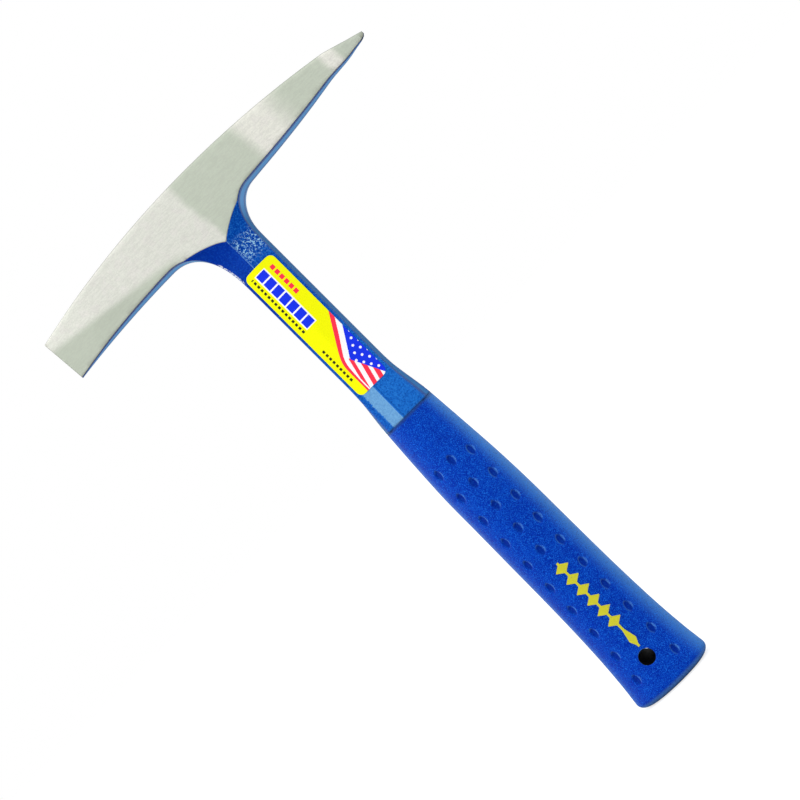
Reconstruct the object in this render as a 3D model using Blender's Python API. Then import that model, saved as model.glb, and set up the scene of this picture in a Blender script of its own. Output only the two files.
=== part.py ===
"""Rock hammer: a one-piece steel forging (head, neck, shank, tang) with a moulded grip.

Frame: +Z runs up the handle from the butt to the head, -X is the chisel blade, +X is the
pick point, and -Y is the front, which carries the label. The origin is the centre of the
flat on the butt. Lengths are in millimetres and become metres in new_object().
"""

import math

import bmesh
import bpy

METRE = 0.001                  # one millimetre, in metres
GAP = 0.3                      # clearance between neighbouring pieces
DRAFT = math.tan(math.radians(6.5))   # slope of the forged walls away from the parting plane

# ---- head: outline on the parting plane (y = 0) ----
HEAD_TOP = 279.4               # overall length of the hammer
HEAD_APEX_X = -2.5             # where the top arc is highest, and where the cheeks are thickest
TOP_RADIUS = 440.0
BLADE_TOP_X = -85.3            # top corner of the chisel edge
BLADE_LEAN = 0.085             # the edge leans in by this much per millimetre downwards
BLADE_LOW_APEX = (-31.0, 254.3)
BLADE_LOW_RADIUS = 470.0
PICK_LOW_APEX = (-1.9, 257.0)
PICK_LOW_RADIUS = 483.0
POINT_START_X = 76.0           # from here the pick is ground down to its point
POINT_SLOPE = 0.12             # extra fall of the top edge over that grind
POINT_END_X = 92.6
POINT_HALF_HEIGHT = 0.6
# The pick's underside hangs below its arc before the blunt nose: (x, sag).
PICK_SAG = ((HEAD_APEX_X, 0.0), (69.0, 0.0), (84.0, 1.1), (POINT_END_X - 3.6, 1.1),
            (POINT_END_X, 0.0))

# Half thickness of the head at the breaks between the ground facets of a cheek: (x, y).
CHEEK = ((-85.3, 0.45), (-62.0, 4.9), (-30.0, 8.2), (HEAD_APEX_X, 9.6), (31.0, 8.4),
         (50.0, 7.0), (POINT_START_X, 4.2), (POINT_END_X, 0.5))
GRIND_STOCK = 1.5              # forged surplus that the cheek grinding takes off
GRIND_BOTTOM_Z = 236.0
HEAD_STEP = 5.5                # longest distance between two sections of the head

# ---- neck and shank ----
SHANK_X = -0.8                 # the shank is forged slightly towards the blade side
SHANK_HALF_WIDTH = 9.5
SHANK_TOP_Z = 226.0            # the shank is straight between these two heights
SHANK_BOTTOM_Z = 174.0
COLLAR_Z = 149.3               # flat underside of the collar, on which the grip ends
COLLAR_X = -0.45
COLLAR_FLARE = 2.65            # the shank's growth in half width towards the collar
RIDGE_X = -1.0                 # ridge of the roof-shaped front and back faces
RIDGE_HEIGHT = 8.4
RIDGE_FLARE_Z = 236.0          # above this height the ridge curves outwards into the head
RIDGE_FLARE_RADIUS = 57.0
ROOF_DROP = 1.9                # from the ridge down to the roof's edge, on the straight shank
ROOF_FLARE_DROP = 0.35         # extra drop for each millimetre of the ridge's flare
ROOF_COLLAR_DROP = 0.3         # extra drop at the collar
EDGE_CHAMFER = 0.9
COLLAR_RISE = 1.4              # the ridge's growth towards the collar
COLLAR_ROUNDING = 1.9          # the chamfer's growth towards the collar, whose rim is oval
COLLAR_TUCK = 1.0              # the walls' lean at the collar, on top of their draft
# Fillets from the shank up to the underside of the head: end x, end z, start z, exponent.
BLADE_FILLET = (-28.5, 254.3, SHANK_TOP_Z, 2.5)
PICK_FILLET = (21.5, 257.4, 241.0, 2.2)

# ---- tang, hidden in the grip ----
TANG_HALF_WIDTH = 7.0
TANG_HALF_DEPTH = 3.6
TANG_TOP_Z = 153.0
WEB_HALF_DEPTH = 2.0           # the grooves leave this web between two flanges
GROOVE_HALF_WIDTH = 4.2
GROOVE_Z = (34.0, 138.0)
HANG_HOLE_Z = 16.9
EYE_RADIUS = 9.5
EYE_HOLE_RADIUS = 5.5

# ---- grip ----
GRIP_TOP_Z = 149.0
HANG_HOLE_RADII = (3.45, 2.2)      # front and back: the moulding pin is tapered
# Centre x, half width and half depth of the oval section at each height.
GRIP_STATIONS = ((4.0, 0.0, 18.35, 13.3), (14.0, 0.0, 17.15, 13.0), (30.0, 0.0, 15.95, 12.7),
                 (52.0, 0.0, 15.2, 12.6), (78.0, 0.0, 14.9, 12.6), (98.0, 0.0, 14.7, 12.4),
                 (115.0, -0.25, 14.3, 12.0), (132.0, -0.4, 13.3, 11.0),
                 (GRIP_TOP_Z, -0.45, 12.1, 9.9))
GRIP_ROWS = (7.0, 10.5, 14.0, 19.0, 25.0, 32.0, 41.0, 52.0, 65.0, 78.0, 90.0, 100.0, 108.0,
             116.0, 124.0, 132.0, 140.5, GRIP_TOP_Z)
# The crowned butt: how far each of its rows lies inside the oval, and the row's height.
BUTT_ROWS = ((6.2, 0.0), (3.2, 0.7), (1.35, 1.5), (0.45, 2.5), (0.0, 4.0))
GRIP_SEGMENTS = 40

DIMPLE_PITCH = 12.32
DIMPLE_HALF_SIZE = (1.6, 0.85, 2.3)    # across, into and along the grip
DIMPLE_DEPTH = 0.5
DIMPLE_COLUMN_X = 8.25
DIMPLE_SIDE_ROWS = 10
DIMPLE_SIDE_Z = 12.0
DIMPLE_SIDE_STAGGER = 0.7              # the blade-side column sits higher, the other lower
DIMPLE_CENTRE_ROWS = 5
DIMPLE_CENTRE_Z = 75.4
DIMPLE_SPREAD = 0.6                    # how much the columns follow the flare of the butt

# ---- label and printed mark ----
LABEL_X = (-8.3, 6.8)
LABEL_Z = (166.9, 232.0)
LABEL_CORNER = 2.5
LABEL_THICKNESS = 0.15
LABEL_SPARE = 0.5                      # the film starts this much larger than its trimmed outline
MARK_X = 0.9
MARK_Z = (22.0, 68.0)
MARK_DIAMONDS = 6
MARK_HALF_WIDTH = 3.4
MARK_LINE_HALF_WIDTH = 0.5
MARK_LINE_SHARE = 0.1                  # share of the pitch that is plain line, at each end
MARK_TAIL = 11.0                       # length of the last, slender diamond
MARK_TAIL_HALF_WIDTH = 1.7
MARK_THICKNESS = 0.12


# ---------------------------------------------------------------------------
# Helpers
# ---------------------------------------------------------------------------
def clear_scene():
    for old in list(bpy.data.objects):
        bpy.data.objects.remove(old, do_unlink=True)


def material(name, colour, roughness, metallic):
    mat = bpy.data.materials.new(name)
    mat.use_nodes = True
    shader = mat.node_tree.nodes["Principled BSDF"]
    shader.inputs["Base Color"].default_value = (*colour, 1.0)
    shader.inputs["Roughness"].default_value = roughness
    shader.inputs["Metallic"].default_value = metallic
    mat.diffuse_color = (*colour, 1.0)
    return mat


def new_object(name, points, faces):
    """A closed mesh from points in millimetres, with its faces turned outwards."""
    mesh = bpy.data.meshes.new(name)
    mesh.from_pydata([[c * METRE for c in point] for point in points], [], faces)
    bm = bmesh.new()
    bm.from_mesh(mesh)
    bmesh.ops.recalc_face_normals(bm, faces=bm.faces)
    bm.to_mesh(mesh)
    bm.free()
    obj = bpy.data.objects.new(name, mesh)
    bpy.context.scene.collection.objects.link(obj)
    return obj


def loft(name, rings):
    """Skin closed rings of equally many points, and cap both ends."""
    count = len(rings[0])
    points = [point for ring in rings for point in ring]
    faces = []
    for row in range(len(rings) - 1):
        for i in range(count):
            j = (i + 1) % count
            low = row * count
            high = low + count
            faces.append((low + i, low + j, high + j, high + i))
    last = (len(rings) - 1) * count
    faces.append(tuple(reversed(range(count))))
    faces.append(tuple(range(last, last + count)))
    return new_object(name, points, faces)


def prism_y(name, outline, y_low, y_high):
    """An outline of (x, z) points, extruded along Y."""
    return loft(name, [[(x, y, z) for x, z in outline] for y in (y_low, y_high)])


def combine(target, other, operation):
    """Boolean with a construction solid, which isn't part of the result itself."""
    modifier = target.modifiers.new(f"{operation.lower()} {other.name}", "BOOLEAN")
    modifier.operation = operation
    modifier.solver = "EXACT"
    modifier.object = other
    other.hide_render = True
    other.display_type = "WIRE"


def finish(obj, mat, smooth_angle):
    obj.data.materials.append(mat)
    obj.data.shade_smooth()
    obj.data.set_sharp_from_angle(angle=math.radians(smooth_angle))


def interpolate(stations, position):
    """Piecewise linear values at a position: stations hold (position, value, ...)."""
    for low, high in zip(stations, stations[1:]):
        if position <= high[0]:
            break
    share = (position - low[0]) / (high[0] - low[0])
    return [a + (b - a) * share for a, b in zip(low[1:], high[1:])]


def smooth_interpolate(stations, position):
    """Like interpolate(), but with smooth slopes through the stations (Catmull-Rom)."""
    index = 0
    while index < len(stations) - 2 and position > stations[index + 1][0]:
        index += 1
    low, high = stations[index], stations[index + 1]
    before = stations[max(index - 1, 0)]
    after = stations[min(index + 2, len(stations) - 1)]
    span = high[0] - low[0]
    t = (position - low[0]) / span
    values = []
    for column in range(1, len(low)):
        slope_low = (high[column] - before[column]) / (high[0] - before[0]) * span
        slope_high = (after[column] - low[column]) / (after[0] - low[0]) * span
        values.append((2 * t**3 - 3 * t**2 + 1) * low[column] + (t**3 - 2 * t**2 + t) * slope_low
                      + (3 * t**2 - 2 * t**3) * high[column] + (t**3 - t**2) * slope_high)
    return values


def circle(radius, count, start=0.0, sweep=2 * math.pi):
    """Points (a, b) on a circle; a part circle includes both of its ends."""
    steps = count if sweep == 2 * math.pi else count - 1
    angles = [start + sweep * i / steps for i in range(count)]
    return [(radius * math.cos(a), radius * math.sin(a)) for a in angles]


# ---------------------------------------------------------------------------
# Head
# ---------------------------------------------------------------------------
def head_top(x):
    arc = HEAD_TOP - TOP_RADIUS + math.sqrt(TOP_RADIUS**2 - (x - HEAD_APEX_X) ** 2)
    return arc - POINT_SLOPE * max(0.0, x - POINT_START_X)


def head_bottom(x):
    if x < HEAD_APEX_X:
        apex_x, apex_z = BLADE_LOW_APEX
        return apex_z - BLADE_LOW_RADIUS + math.sqrt(BLADE_LOW_RADIUS**2 - (x - apex_x) ** 2)
    apex_x, apex_z = PICK_LOW_APEX
    arc = apex_z + PICK_LOW_RADIUS - math.sqrt(PICK_LOW_RADIUS**2 - (x - apex_x) ** 2)
    return arc - interpolate(PICK_SAG, x)[0]


def head_stations():
    """Where the head gets a section: at each break of the cheek, and evenly in between."""
    stations = []
    breaks = [x for x, _ in CHEEK]
    for low, high in zip(breaks, breaks[1:]):
        steps = math.ceil((high - low) / HEAD_STEP)
        stations += [low + (high - low) * i / steps for i in range(steps)]
    return stations + [breaks[-1]]


def head_section(x):
    """Six-sided section: two upright cheeks, drafted top and bottom faces."""
    top = head_top(x)
    bottom = head_bottom(x)
    if x == POINT_END_X:
        middle = (top + bottom) / 2
        top = middle + POINT_HALF_HEIGHT
        bottom = middle - POINT_HALF_HEIGHT
    half = interpolate(CHEEK, x)[0] + GRIND_STOCK
    inset = min(half * DRAFT, 0.4 * (top - bottom))
    lean = BLADE_LEAN if x == BLADE_TOP_X else 0.0
    corners = ((0.0, top), (half, top - inset), (half, bottom + inset),
               (0.0, bottom), (-half, bottom + inset), (-half, top - inset))
    return [(x + lean * (top - z), y, z) for y, z in corners]


def head_blank():
    return loft("steel_forging", [head_section(x) for x in head_stations()])


def cheek_grinds():
    """The material outside the two ground cheeks, for cutting away."""
    beyond = 10.0
    (blade_x, blade_y), (point_x, point_y) = CHEEK[0], CHEEK[-1]
    far_y = max(y for _, y in CHEEK) + beyond
    outline = [(blade_x - beyond, blade_y), *CHEEK, (point_x + beyond, point_y),
               (point_x + beyond, far_y), (blade_x - beyond, far_y)]
    cutters = []
    for name, side in (("grind_front", -1.0), ("grind_back", 1.0)):
        rings = [[(x, side * y, z) for x, y in outline]
                 for z in (GRIND_BOTTOM_Z, HEAD_TOP + beyond)]
        cutters.append(loft(name, rings))
    return cutters


# ---------------------------------------------------------------------------
# Neck, shank and collar
# ---------------------------------------------------------------------------
def collar_share(z):
    """0 on the straight shank, rising smoothly to 1 at the collar's underside."""
    s = min(1.0, max(0.0, (SHANK_BOTTOM_Z - z) / (SHANK_BOTTOM_Z - COLLAR_Z)))
    return s * s * (2.2 - 1.2 * s)


def edge_x(z, side):
    """Parting-plane edge of the neck and shank; side is -1 for the blade, +1 for the pick."""
    end_x, end_z, start_z, power = BLADE_FILLET if side < 0 else PICK_FILLET
    shank_edge = SHANK_X + side * SHANK_HALF_WIDTH
    if z >= end_z:
        return end_x
    if z > start_z:
        rise = (z - start_z) / (end_z - start_z)
        reach = (1.0 - rise**power) ** (1.0 / power)
        return end_x + (shank_edge - end_x) * reach
    share = collar_share(z)
    return shank_edge + (side * COLLAR_FLARE + COLLAR_X - SHANK_X) * share


def shank_section(z):
    """Quarter heights of the section: ridge, roof edge and top of the drafted wall."""
    share = collar_share(z)
    flare = max(0.0, z - RIDGE_FLARE_Z) ** 2 / (2 * RIDGE_FLARE_RADIUS)
    ridge = RIDGE_HEIGHT + COLLAR_RISE * share + flare
    roof_edge = ridge - ROOF_DROP - ROOF_FLARE_DROP * flare - ROOF_COLLAR_DROP * share
    wall_top = roof_edge - EDGE_CHAMFER - COLLAR_ROUNDING * share
    return ridge, roof_edge, wall_top


def wall_top_x(z, side):
    """Where the drafted wall ends and where the roof face begins, on one side."""
    share = collar_share(z)
    rise = shank_section(z)[2] * DRAFT
    inset = rise + COLLAR_TUCK * share
    if z > SHANK_TOP_Z:                # in the fillets the draft also lifts the outline
        outline_x = edge_x(z - rise, side)
    else:
        outline_x = edge_x(z, side)
    wall_x = outline_x - side * inset
    return wall_x, wall_x - side * (EDGE_CHAMFER + COLLAR_ROUNDING * share)


def shank_ring(z):
    """Twelve-sided section: a ridge, two roof faces, chamfers and drafted walls, both sides."""
    ridge, roof_edge, wall_top = shank_section(z)
    blade, blade_roof = wall_top_x(z, -1)
    pick, pick_roof = wall_top_x(z, 1)
    half = [(edge_x(z, -1), 0.0), (blade, wall_top), (blade_roof, roof_edge),
            (RIDGE_X, ridge), (pick_roof, roof_edge), (pick, wall_top), (edge_x(z, 1), 0.0)]
    front = [(x, -y, z) for x, y in half]
    back = [(x, y, z) for x, y in reversed(half[1:-1])]
    return front + back


def shank_rows():
    flare = [COLLAR_Z + (SHANK_BOTTOM_Z - COLLAR_Z) * i / 5 for i in range(6)]
    fillet_start = (SHANK_TOP_Z, 231.0, 235.0, 238.5, 241.5, 244.0, 246.2, 248.0, 249.5, 250.8,
                    251.9, 252.8, 253.5, 254.0)
    fillet_end = (BLADE_FILLET[1], 254.9, 255.5, 256.2, 256.8, PICK_FILLET[1], 258.0, 258.8, 262.0)
    return flare + list(fillet_start) + list(fillet_end)


def shank_blank():
    return loft("shank_blank", [shank_ring(z) for z in shank_rows()])


def roof_height(x, z):
    """Distance of the shank's roof face from the parting plane."""
    ridge, roof_edge, _ = shank_section(z)
    foot = wall_top_x(z, -1 if x < RIDGE_X else 1)[1]
    return ridge + (roof_edge - ridge) * (x - RIDGE_X) / (foot - RIDGE_X)


# ---------------------------------------------------------------------------
# Tang
# ---------------------------------------------------------------------------
def tang(name, grow, top_z):
    """Flat bar with an eye for the hanging hole and a groove down each face.

    With grow = 0 it is the steel; with grow = GAP it is the space it needs in the grip.
    """
    half_width = TANG_HALF_WIDTH + grow
    eye = EYE_RADIUS + grow
    start = math.acos(half_width / eye)
    arc = circle(eye, 15, start=start, sweep=-(math.pi + 2 * start))
    outline = [(x, HANG_HOLE_Z + z) for x, z in arc]
    outline += [(-half_width, top_z), (half_width, top_z)]
    half_depth = TANG_HALF_DEPTH + grow
    bar = prism_y(name, outline, -half_depth, half_depth)

    hole = [(x, HANG_HOLE_Z + z) for x, z in circle(EYE_HOLE_RADIUS - grow, 24)]
    combine(bar, prism_y(f"{name}_eye", hole, -2 * half_depth, 2 * half_depth), "DIFFERENCE")

    groove_half = GROOVE_HALF_WIDTH - grow
    z_low, z_high = GROOVE_Z[0] + grow, GROOVE_Z[1] - grow
    groove = [(-groove_half, z_low), (groove_half, z_low),
              (groove_half, z_high), (-groove_half, z_high)]
    floor = WEB_HALF_DEPTH + grow
    for side_name, low, high in (("front", -2 * half_depth, -floor),
                                 ("back", floor, 2 * half_depth)):
        combine(bar, prism_y(f"{name}_groove_{side_name}", groove, low, high), "DIFFERENCE")
    return bar


def steel_forging():
    forging = head_blank()
    combine(forging, shank_blank(), "UNION")
    for cutter in cheek_grinds():
        combine(forging, cutter, "DIFFERENCE")
    combine(forging, tang("tang_blank", 0.0, TANG_TOP_Z), "UNION")
    finish(forging, material("forged steel", (0.70, 0.70, 0.65), 0.32, 1.0), 20)


# ---------------------------------------------------------------------------
# Grip
# ---------------------------------------------------------------------------
def grip_ring(z, inset=0.0):
    centre, half_width, half_depth = smooth_interpolate(GRIP_STATIONS, max(z, 4.0))
    ring = circle(1.0, GRIP_SEGMENTS)
    return [(centre + (half_width - inset) * a, (half_depth - inset) * b, z) for a, b in ring]


def grip_depth(x, z):
    """Distance of the grip's surface from the parting plane."""
    centre, half_width, half_depth = smooth_interpolate(GRIP_STATIONS, max(z, 4.0))
    return half_depth * math.sqrt(1.0 - ((x - centre) / half_width) ** 2)


def dimple_places():
    """(x, z) of every dimple on one face of the grip."""
    places = []
    for row in range(DIMPLE_SIDE_ROWS):
        z = DIMPLE_SIDE_Z + DIMPLE_PITCH * row
        half_width = smooth_interpolate(GRIP_STATIONS, z)[1]
        straight = GRIP_STATIONS[4][2]
        x = DIMPLE_COLUMN_X + DIMPLE_SPREAD * max(0.0, half_width - straight)
        places.append((-x, z + DIMPLE_SIDE_STAGGER))
        places.append((x, z - DIMPLE_SIDE_STAGGER))
    for row in range(DIMPLE_CENTRE_ROWS):
        places.append((0.0, DIMPLE_CENTRE_Z + DIMPLE_PITCH * row))
    return places


def dimple_cutter(name, face):
    """One mesh of ellipsoids that dip into the grip; face is -1 for the front, +1 for the back."""
    bm = bmesh.new()
    size_x, size_y, size_z = DIMPLE_HALF_SIZE
    for x, z in dimple_places():
        depth = grip_depth(x, z)
        step = 0.5
        slope = (grip_depth(x + step, z) - grip_depth(x - step, z)) / (2 * step)
        turn = math.atan(-slope)
        out = size_y - DIMPLE_DEPTH
        ball = bmesh.ops.create_uvsphere(bm, u_segments=8, v_segments=8, radius=1.0)
        for vert in ball["verts"]:
            across, inward, along = vert.co.x * size_x, vert.co.y * size_y + out, vert.co.z * size_z
            px = x + across * math.cos(turn) + inward * math.sin(turn)
            py = depth - across * math.sin(turn) + inward * math.cos(turn)
            vert.co = (px * METRE, face * py * METRE, (z + along) * METRE)
    bmesh.ops.recalc_face_normals(bm, faces=bm.faces)
    mesh = bpy.data.meshes.new(name)
    bm.to_mesh(mesh)
    bm.free()
    cutter = bpy.data.objects.new(name, mesh)
    bpy.context.scene.collection.objects.link(cutter)
    return cutter


def hanging_bore():
    beyond = 3.0
    front_y = -grip_depth(0.0, HANG_HOLE_Z) - beyond
    rings = []
    for y, radius in ((front_y, HANG_HOLE_RADII[0]), (-front_y, HANG_HOLE_RADII[1])):
        rings.append([(x, y, HANG_HOLE_Z + z) for x, z in circle(radius, 24)])
    return loft("hanging_bore", rings)


def grip():
    butt = [grip_ring(z, inset) for inset, z in BUTT_ROWS]
    body = loft("grip", butt + [grip_ring(z) for z in GRIP_ROWS])
    combine(body, tang("tang_space", GAP, GRIP_TOP_Z + 4.0), "DIFFERENCE")
    combine(body, hanging_bore(), "DIFFERENCE")
    combine(body, dimple_cutter("dimples_front", -1.0), "DIFFERENCE")
    combine(body, dimple_cutter("dimples_back", 1.0), "DIFFERENCE")
    finish(body, material("blue vinyl", (0.012, 0.075, 0.46), 0.45, 0.0), 35)


# ---------------------------------------------------------------------------
# Label and printed mark
# ---------------------------------------------------------------------------
def label_ring(z):
    """Section of the film: it folds over the shank's ridge."""
    places = (LABEL_X[0] - LABEL_SPARE, RIDGE_X, LABEL_X[1] + LABEL_SPARE)
    inner = [(x, -roof_height(x, z) - GAP, z) for x in places]
    outer = [(x, -roof_height(x, z) - GAP - LABEL_THICKNESS, z) for x in reversed(places)]
    return inner + outer


def label():
    rows = [LABEL_Z[0] - LABEL_SPARE, 170.0, SHANK_BOTTOM_Z, SHANK_TOP_Z, LABEL_Z[1] + LABEL_SPARE]
    film = loft("label", [label_ring(z) for z in rows])
    outline = []
    for corner, (x, z) in enumerate(((1, 1), (0, 1), (0, 0), (1, 0))):
        centre_x = LABEL_X[x] + (LABEL_CORNER if x == 0 else -LABEL_CORNER)
        centre_z = LABEL_Z[z] + (LABEL_CORNER if z == 0 else -LABEL_CORNER)
        arc = circle(LABEL_CORNER, 6, start=corner * math.pi / 2, sweep=math.pi / 2)
        outline += [(centre_x + a, centre_z + b) for a, b in arc]
    trim = prism_y("label_trim", outline, -RIDGE_HEIGHT - 3.0, -RIDGE_HEIGHT + 6.0)
    combine(film, trim, "INTERSECT")
    finish(film, material("label film", (0.95, 0.90, 0.02), 0.35, 0.0), 5)


def mark_outline():
    """A straight row of diamonds joined by a thin line, with a slender last diamond."""
    z_low, z_high = MARK_Z
    row_start = z_low + MARK_TAIL
    pitch = (z_high - row_start) / MARK_DIAMONDS
    right = [(MARK_LINE_HALF_WIDTH, z_low), (MARK_TAIL_HALF_WIDTH, z_low + MARK_TAIL / 3)]
    right.append((MARK_LINE_HALF_WIDTH, row_start))
    for i in range(MARK_DIAMONDS):
        start = row_start + pitch * i
        right.append((MARK_LINE_HALF_WIDTH, start + pitch * MARK_LINE_SHARE))
        right.append((MARK_HALF_WIDTH, start + pitch / 2))
        right.append((MARK_LINE_HALF_WIDTH, start + pitch * (1.0 - MARK_LINE_SHARE)))
    return right


def foil_mark():
    """The outline wrapped onto the front of the grip, as a thin plate."""
    side = mark_outline()
    rings = []
    for x, z in side:
        places = (MARK_X - x, MARK_X, MARK_X + x)
        inner = [(px, -grip_depth(px, z) - GAP, z) for px in places]
        outer = [(px, -grip_depth(px, z) - GAP - MARK_THICKNESS, z) for px in reversed(places)]
        rings.append(inner + outer)
    plate = loft("foil_mark", rings)
    finish(plate, material("yellow foil", (0.80, 0.76, 0.05), 0.4, 0.0), 5)


clear_scene()
steel_forging()
grip()
label()
foil_mark()
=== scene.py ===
"""Looks of the rock hammer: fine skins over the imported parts, materials, studio and camera.

The frame has +Z up the handle, -X at the chisel blade, +X at the pick and -Y at the front.
Shapes are worked out in millimetres and become metres in new_object(). Every skin takes its
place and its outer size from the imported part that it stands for.
"""

import math

import bpy
import numpy as np
from mathutils import Matrix, Vector
from mathutils.geometry import delaunay_2d_cdt

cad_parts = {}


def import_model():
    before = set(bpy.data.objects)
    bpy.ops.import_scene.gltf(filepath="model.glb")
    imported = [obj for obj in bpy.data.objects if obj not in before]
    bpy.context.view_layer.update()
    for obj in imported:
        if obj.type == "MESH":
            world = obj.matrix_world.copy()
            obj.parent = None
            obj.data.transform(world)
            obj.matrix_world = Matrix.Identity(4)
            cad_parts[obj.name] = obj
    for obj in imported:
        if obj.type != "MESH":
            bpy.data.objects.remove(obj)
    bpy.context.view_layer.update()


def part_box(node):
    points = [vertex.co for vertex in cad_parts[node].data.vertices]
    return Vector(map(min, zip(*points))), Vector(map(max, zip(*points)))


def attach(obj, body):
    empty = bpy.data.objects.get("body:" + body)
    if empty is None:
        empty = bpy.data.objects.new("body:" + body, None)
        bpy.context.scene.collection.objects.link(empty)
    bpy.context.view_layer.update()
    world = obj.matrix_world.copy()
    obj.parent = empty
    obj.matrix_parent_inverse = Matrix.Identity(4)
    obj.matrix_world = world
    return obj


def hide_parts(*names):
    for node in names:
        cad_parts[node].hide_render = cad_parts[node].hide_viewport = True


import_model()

MM = 0.001
steel_low, steel_high = (np.array(corner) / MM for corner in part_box("steel_forging"))
grip_low, grip_high = (np.array(corner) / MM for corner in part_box("grip"))
label_low, label_high = (np.array(corner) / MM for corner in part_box("label"))
mark_low, mark_high = (np.array(corner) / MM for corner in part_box("foil_mark"))

# ---- sizes of the forging, in millimetres ----
DRAFT = math.tan(math.radians(6.5))
APEX_X = -2.5
TOP_RADIUS = 440.0
BLADE_LEAN = 0.085
BLADE_LOW_APEX = (-31.0, 254.3)
BLADE_LOW_RADIUS = 470.0
PICK_LOW_APEX = (-1.9, 257.0)
PICK_LOW_RADIUS = 483.0
POINT_START_X = 76.0
POINT_SLOPE = 0.12
POINT_SAG = 1.1                # how far the pick's underside hangs below its arc at the point
POINT_SAG_X = (69.0, 84.0)     # the sag grows between these
POINT_NOSE = 3.6               # length of the blunt nose, where the sag ends
POINT_HALF_HEIGHT = 0.6
POINT_BLEND = 7.0              # over this length the head's edges bend to meet the point
CHEEK_X = (steel_low[0], -62.0, -30.0, APEX_X, 31.0, 50.0, POINT_START_X, steel_high[0])
CHEEK_Y = (0.45, 4.9, 8.2, 9.6, 8.4, 7.0, 4.2, 0.5)
CHEEK_BLUR = 3.0               # the breaks between the ground facets are softened this far

SHANK_X = -0.8
SHANK_HALF_WIDTH = 9.5
SHANK_BOTTOM_Z = 174.0
COLLAR_Z = grip_high[2] + 0.3
COLLAR_X = -0.45
COLLAR_FLARE = 2.65
COLLAR_RISE = 1.4
COLLAR_ROUNDING = 1.9
COLLAR_TUCK = 1.0
COLLAR_LIP = 0.12              # rounding of the collar's lower rim
SHOULDER_INSET = 1.7           # the shoulder below the collar sits in a socket of the grip
SHOULDER_DEPTH = 2.0
PAINTED = -3.0                 # "ground" value of a place well inside the paint
ON_FACE = 2.0                  # "wall" value of a place on a face
RIDGE_HEIGHT = 8.4
RIDGE_FLARE_Z = 238.1
RIDGE_FLARE_RADIUS = 35.3
ROOF_DROP = 1.9
ROOF_FLARE_DROP = 0.33
ROOF_COLLAR_DROP = 0.3
EDGE_CHAMFER = 0.9
# The ridge is a narrow land: x of its two edges at some heights.
LAND_LEFT = ((149.3, 232.0), (-1.65, -2.1))
LAND_RIGHT = ((149.3, 238.0, 248.0), (-0.85, -0.75, -2.1))
FILLETS = {-1: (-28.5, 254.3, 226.0, 2.5), 1: (21.5, 257.4, 241.0, 2.2)}
GRIND_STOCK = 1.5              # forged surplus that the cheek grinding takes off
NECK_MARGIN = 1.0              # the surplus reaches this far into the neck from either side,
HEAD_MARGIN = 0.8              # and starts this far above the head's lower edge
GRIND_BOTTOM_Z = 236.0
GROUND_RIM = 0.4               # rounding of the rim around the ground cheeks
GROUND_RIM_BARE = 0.06         # on the undersides, the grinding bares only this much of the rim
CREASE = 0.08                  # height of the rounding where two faces of the forging meet
RIM_BLEND = 9.0                # over this height below the head the shank's chamfer fades out
LIP_SHARES = (0.0, 0.06, 0.2, 0.45, 1.0)    # rows of points up the collar's rounded lip

OUTLINE_STEP = 1.1
FACE_STEP = 1.25
WALL_ROWS = 5
RIM_ROWS = 4

# ---- sizes of the grip ----
GRIP_Z = (4.0, 14.0, 30.0, 52.0, 78.0, 98.0, 115.0, 132.0, grip_high[2])
GRIP_CENTRE = (0.0, 0.0, 0.0, 0.0, 0.0, 0.0, -0.25, -0.4, -0.45)
GRIP_HALF_WIDTH = (grip_high[0], 17.15, 15.95, 15.2, 14.9, 14.7, 14.3, 13.3, 12.1)
GRIP_HALF_DEPTH = (grip_high[1], 13.0, 12.7, 12.6, 12.6, 12.4, 12.0, 11.0, 9.9)
GRIP_STEP = 0.45
CAP_SHARES = (0.04, 0.3, 0.65)  # rings that fill the flat ends, as shares of their outlines
BUTT_INSET = 6.2               # from the widest outline in to the flat on the butt
BUTT_ROUNDING_Z = 4.0
BUTT_ROUNDING_POWER = 2.3
GRIP_TOP_GAP = 0.04            # the skin's top stands this far below the collar
GRIP_TOP_ROUNDING = 0.12
SOCKET_INSET = 1.3
SOCKET_DEPTH = 2.3
HANG_HOLE_Z = 16.9
HANG_HOLE_RADII = (3.45, 2.2)  # at the front and at the back
HANG_HOLE_MOUTH = 0.5          # rounding of the mouths
DIMPLE_PITCH = 12.32
DIMPLE_HALF_WIDTH = 1.6
DIMPLE_HALF_LENGTH = 2.7
DIMPLE_DEPTH = 0.62
DIMPLE_COLUMN_X = 8.25
DIMPLE_SIDE_ROWS = 10
DIMPLE_SIDE_Z = 12.0
DIMPLE_SIDE_STAGGER = 0.7
DIMPLE_CENTRE_ROWS = 5
DIMPLE_CENTRE_Z = 75.4
DIMPLE_SPREAD = 0.6            # the side columns follow this share of the grip's widening
DIMPLE_LEAF_POWER = 2.2        # how full the leaf shape is; 1 would be a diamond
DIMPLE_SLOPE = 0.35            # share of the half width that slopes
DIMPLE_END_SLOPE = 0.25        # share of the half length that slopes
DIMPLE_RIM = 0.3               # width of the rim with the painted highlight, as a share of the half width

# ---- sizes of the label and the printed mark ----
FILM_LIFT = 0.06               # the print stands this far off the surface below it
FILM_THICKNESS = 0.14
LABEL_CORNER = 2.5
MARK_DIAMONDS = 6
MARK_TAIL = 11.0
MARK_TAIL_HALF_WIDTH = 1.7
MARK_LINE_HALF_WIDTH = 0.5
MARK_LINE_SHARE = 0.1          # share of the pitch that is plain line, at each end


# ---- places and inks of the finishes ----
BAND_MIDDLE_Z = 265.0          # the painted highlight and shade bands across the ground cheeks keep their X at this height
BAND_LEAN = 0.12               # and lean by this much X per Z
SHADE_START = (-4.6, -0.2)     # X where the cheeks' painted tone turns from highlight to shade
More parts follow.
